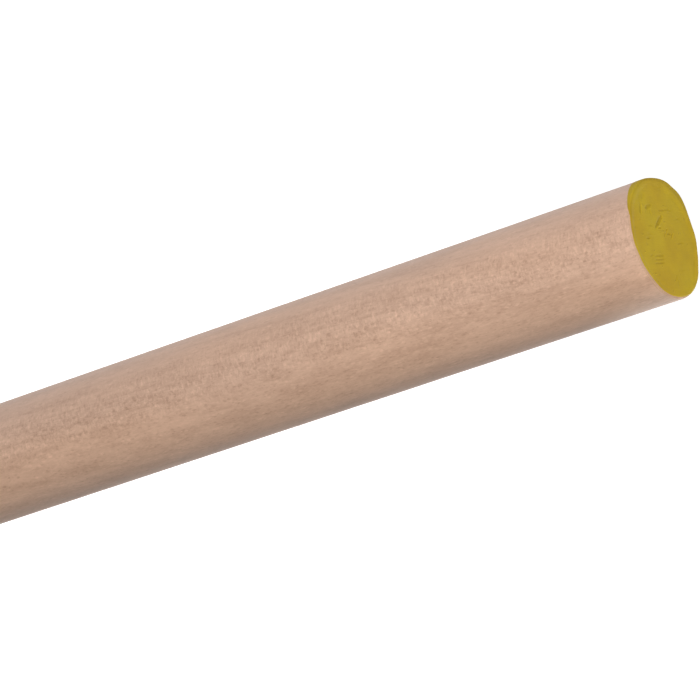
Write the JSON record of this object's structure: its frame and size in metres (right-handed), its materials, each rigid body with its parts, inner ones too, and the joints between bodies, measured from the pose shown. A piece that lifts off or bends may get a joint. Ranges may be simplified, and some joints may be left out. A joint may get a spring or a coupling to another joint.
{
  "type": "wooden dowel rod",
  "caption": "Plain round hardwood dowel rod with square sawn ends, one end face painted yellow as a size mark, for cutting into pins, rails, axles and pegs.",
  "frame": {"origin": "centre of the bare sawn end, the flat face that the rod stands on", "axes": "+Z along the rod's axis towards the painted end; X and Y are any two directions across it, because the rod is round"},
  "size_m": [0.0254, 0.0254, 0.9145],
  "materials": {
    "bare_wood": "sanded bare hardwood, pinkish beige, fine short pores along the rod",
    "yellow_paint": "matte ochre yellow paint brushed on sawn end grain"
  },
  "bodies": {
    "root": {"dowel_rod": "bare_wood", "end_paint": "yellow_paint"}
  },
  "joints": []
}
